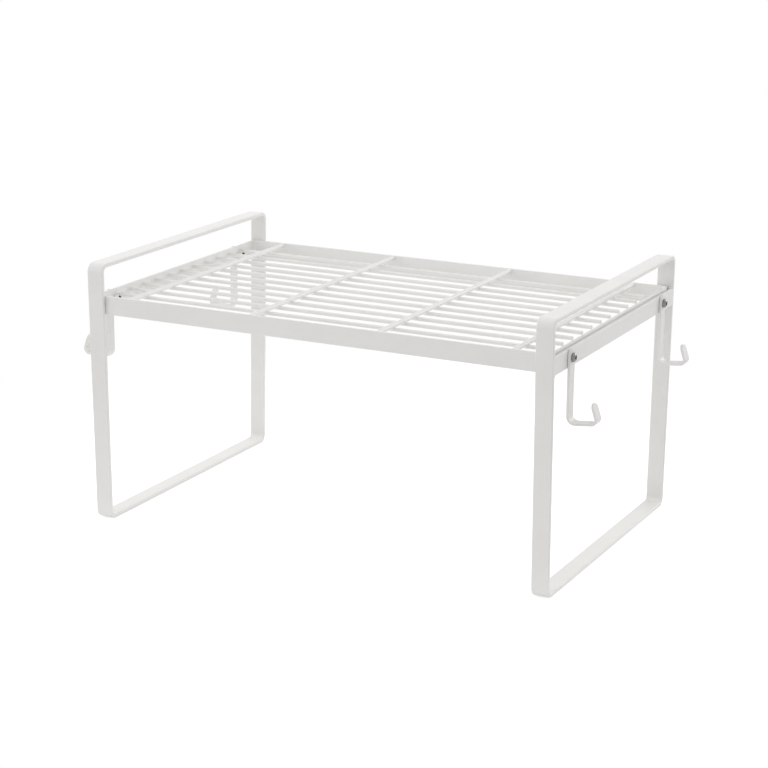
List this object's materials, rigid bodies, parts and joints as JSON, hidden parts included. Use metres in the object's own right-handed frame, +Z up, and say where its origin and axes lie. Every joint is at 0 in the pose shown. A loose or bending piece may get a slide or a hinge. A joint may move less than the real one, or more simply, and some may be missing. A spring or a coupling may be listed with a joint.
{
  "type": "wire shelf organizer",
  "caption": "Free-standing wire shelf for a counter or cupboard: a wire tray between two bent strip side loops that end in handles, with swivel hooks on both ends.",
  "frame": {"origin": "on the floor, at the centre of the footprint", "axes": "+X along the shelf to its right end, +Y to its back, +Z up"},
  "size_m": [0.449, 0.2616, 0.214],
  "materials": {
    "white_powder_coat": "off-white powder coat, satin to semi-gloss, fine orange peel",
    "bright_steel": "bright plated steel"
  },
  "bodies": {
    "frame": {"left_side_loop": "white_powder_coat", "right_side_loop": "white_powder_coat", "left_cross_rail": "white_powder_coat", "right_cross_rail": "white_powder_coat", "tray_rim": "white_powder_coat", "cross_wire_1": "white_powder_coat", "cross_wire_2": "white_powder_coat", "cross_wire_3": "white_powder_coat", "cross_wire_4": "white_powder_coat", "grid_rod_01": "white_powder_coat", "grid_rod_02": "white_powder_coat", "grid_rod_03": "white_powder_coat", "grid_rod_04": "white_powder_coat", "grid_rod_05": "white_powder_coat", "grid_rod_06": "white_powder_coat", "grid_rod_07": "white_powder_coat", "grid_rod_08": "white_powder_coat", "grid_rod_09": "white_powder_coat", "grid_rod_10": "white_powder_coat", "grid_rod_11": "white_powder_coat", "hook_screw_front_left": "bright_steel", "hook_screw_back_left": "bright_steel", "hook_screw_front_right": "bright_steel", "hook_screw_back_right": "bright_steel", "weld_nut_front_left": "white_powder_coat", "weld_nut_back_left": "white_powder_coat", "weld_nut_front_right": "white_powder_coat", "weld_nut_back_right": "white_powder_coat"},
    "front_left_hook": {"hook_front_left": "white_powder_coat"},
    "back_left_hook": {"hook_back_left": "white_powder_coat"},
    "front_right_hook": {"hook_front_right": "white_powder_coat"},
    "back_right_hook": {"hook_back_right": "white_powder_coat"}
  },
  "joints": [
    {"name": "front_left_hook_swivel", "type": "hinge", "parent": "frame", "child": "front_left_hook", "pos_m": [-0.2003, -0.0987, 0.1799], "axis": [1, 0, 0], "range_deg": [-90, 90]},
    {"name": "back_left_hook_swivel", "type": "hinge", "parent": "frame", "child": "back_left_hook", "pos_m": [-0.2003, 0.0987, 0.1799], "axis": [1, 0, 0], "range_deg": [-90, 90]},
    {"name": "front_right_hook_swivel", "type": "hinge", "parent": "frame", "child": "front_right_hook", "pos_m": [0.2003, -0.0987, 0.1799], "axis": [1, 0, 0], "range_deg": [-90, 90]},
    {"name": "back_right_hook_swivel", "type": "hinge", "parent": "frame", "child": "back_right_hook", "pos_m": [0.2003, 0.0987, 0.1799], "axis": [1, 0, 0], "range_deg": [-90, 90]}
  ]
}
